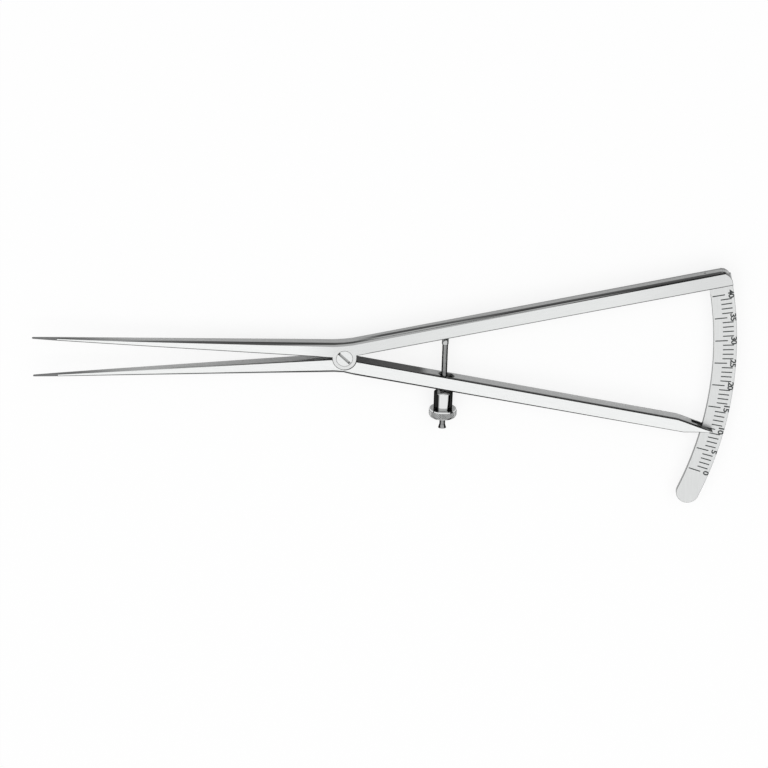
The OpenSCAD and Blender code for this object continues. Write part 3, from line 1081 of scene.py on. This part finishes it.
def ray_kinds(owner, *kinds):
    """One where the ray is of any of the kinds, else zero."""
    path = owner.node_tree.nodes.new("ShaderNodeLightPath")
    result = path.outputs[kinds[0]]
    for kind in kinds[1:]:
        result = either(owner, result, path.outputs[kind])
    return result


def matt(name, colour):
    """A material that reflects nothing sharply."""
    material, shader = new_material(name, colour, 0.9, 0.0)
    shader.inputs["Specular IOR Level"].default_value = 0.0
    return material, shader


def build_floor():
    """A pale sheet whose shadows stay faint to the camera."""
    deselect_all()
    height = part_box("knurled_nut")[0].z - floor_gap
    bpy.ops.mesh.primitive_plane_add(size=floor_size, location=(0, 0, height))
    floor = bpy.context.active_object
    floor.name = "floor"
    material, shader = matt("pale_floor", (0.96, 0.96, 0.96))
    tree = material.node_tree
    white = tree.nodes.new("ShaderNodeEmission")
    white.inputs["Strength"].default_value = 1.0
    seen = both(material, ray_kinds(material, "Is Camera Ray", "Is Transmission Ray"), seen_whiteness)
    reflected = both(material, ray_kinds(material, "Is Glossy Ray"), reflected_whiteness)
    blend = tree.nodes.new("ShaderNodeMixShader")
    tree.links.new(calculate(material, "ADD", reflected, seen), blend.inputs[0])
    tree.links.new(shader.outputs[0], blend.inputs[1])
    tree.links.new(white.outputs[0], blend.inputs[2])
    tree.links.new(blend.outputs[0], tree.nodes["Material Output"].inputs["Surface"])
    paint(floor, [material])


def card_top(x, y):
    """How high the cards reach, as an angle over the table: low past the tips and behind the object."""
    azimuth = math.atan2(y, x)
    behind = abs(azimuth - math.pi / 2)
    behind = min(behind, math.tau - behind)
    dip = card_dip * math.exp(-(behind / card_dip_width) ** 2)
    return card_height + card_swing * math.cos(azimuth) - dip


def build_cards():
    """Dark cards round the table, which only reflections see."""
    deselect_all()
    bpy.ops.mesh.primitive_cylinder_add(vertices=96, radius=card_distance, depth=1, end_fill_type="NOTHING")
    cards = bpy.context.active_object
    cards.name = "dark_cards"
    for vertex in cards.data.vertices:
        top = card_distance * math.tan(card_top(vertex.co.x, vertex.co.y))
        vertex.co.z = top if vertex.co.z > 0 else card_foot
    paint(cards, [matt("dark_card", (0.02, 0.02, 0.02))[0]])
    cards.visible_camera = False
    cards.visible_diffuse = False
    cards.visible_shadow = False
    cards.visible_transmission = False


def build_light():
    """One large soft box overhead."""
    data = bpy.data.lights.new("overhead_box", "AREA")
    data.shape = "RECTANGLE"
    data.size = light_w
    data.size_y = light_d
    data.energy = light_level * math.pi * light_w * light_d
    lamp = bpy.data.objects.new("overhead_box", data)
    bpy.context.scene.collection.objects.link(lamp)
    lamp.location = light_place
    lamp.visible_glossy = False


def build_surround():
    """An even pale surround, brighter to the camera and in reflections than as a light."""
    world = bpy.data.worlds.new("studio")
    bpy.context.scene.world = world
    world.use_nodes = True
    tree = world.node_tree
    background = tree.nodes["Background"]
    background.inputs["Color"].default_value = (1, 1, 1, 1)
    level = tree.nodes.new("ShaderNodeMapRange")
    level.inputs["To Min"].default_value = surround_light
    level.inputs["To Max"].default_value = surround_seen
    seen = ray_kinds(world, "Is Camera Ray", "Is Glossy Ray", "Is Transmission Ray")
    tree.links.new(seen, level.inputs["Value"])
    tree.links.new(level.outputs["Result"], background.inputs["Strength"])
    bpy.context.scene.view_settings.view_transform = "Standard"


build_floor()
build_cards()
build_light()
build_surround()


# Camera at the photograph's place
camera_distance = 0.9
camera_tilt = math.radians(22.84)
camera_roll = math.radians(4.19)
object_turn = math.radians(4.42)
look_at = Vector((0.010373, -0.007399, lever_front))
image_width = 768
lens_width = 36.0
pixels_per_metre = 3915.0
optical_centre = (385.0, 385.5)

to_camera = (Matrix.Rotation(camera_roll, 3, "Z") @ Matrix.Rotation(camera_tilt, 3, "X")
             @ Matrix.Rotation(-object_turn, 3, "Z"))
camera_data = bpy.data.cameras.new("camera")
camera_data.sensor_width = lens_width
camera_data.lens = pixels_per_metre * camera_distance * lens_width / image_width
camera_data.shift_x = (image_width / 2 - optical_centre[0]) / image_width
camera_data.shift_y = (optical_centre[1] - image_width / 2) / image_width
camera_data.clip_start = 0.01
camera_data.clip_end = 20
camera = bpy.data.objects.new("camera", camera_data)
bpy.context.scene.collection.objects.link(camera)
facing = to_camera.transposed()
camera.matrix_world = (Matrix.Translation(look_at + facing @ Vector((0, 0, camera_distance)))
                       @ facing.to_4x4())
bpy.context.scene.camera = camera
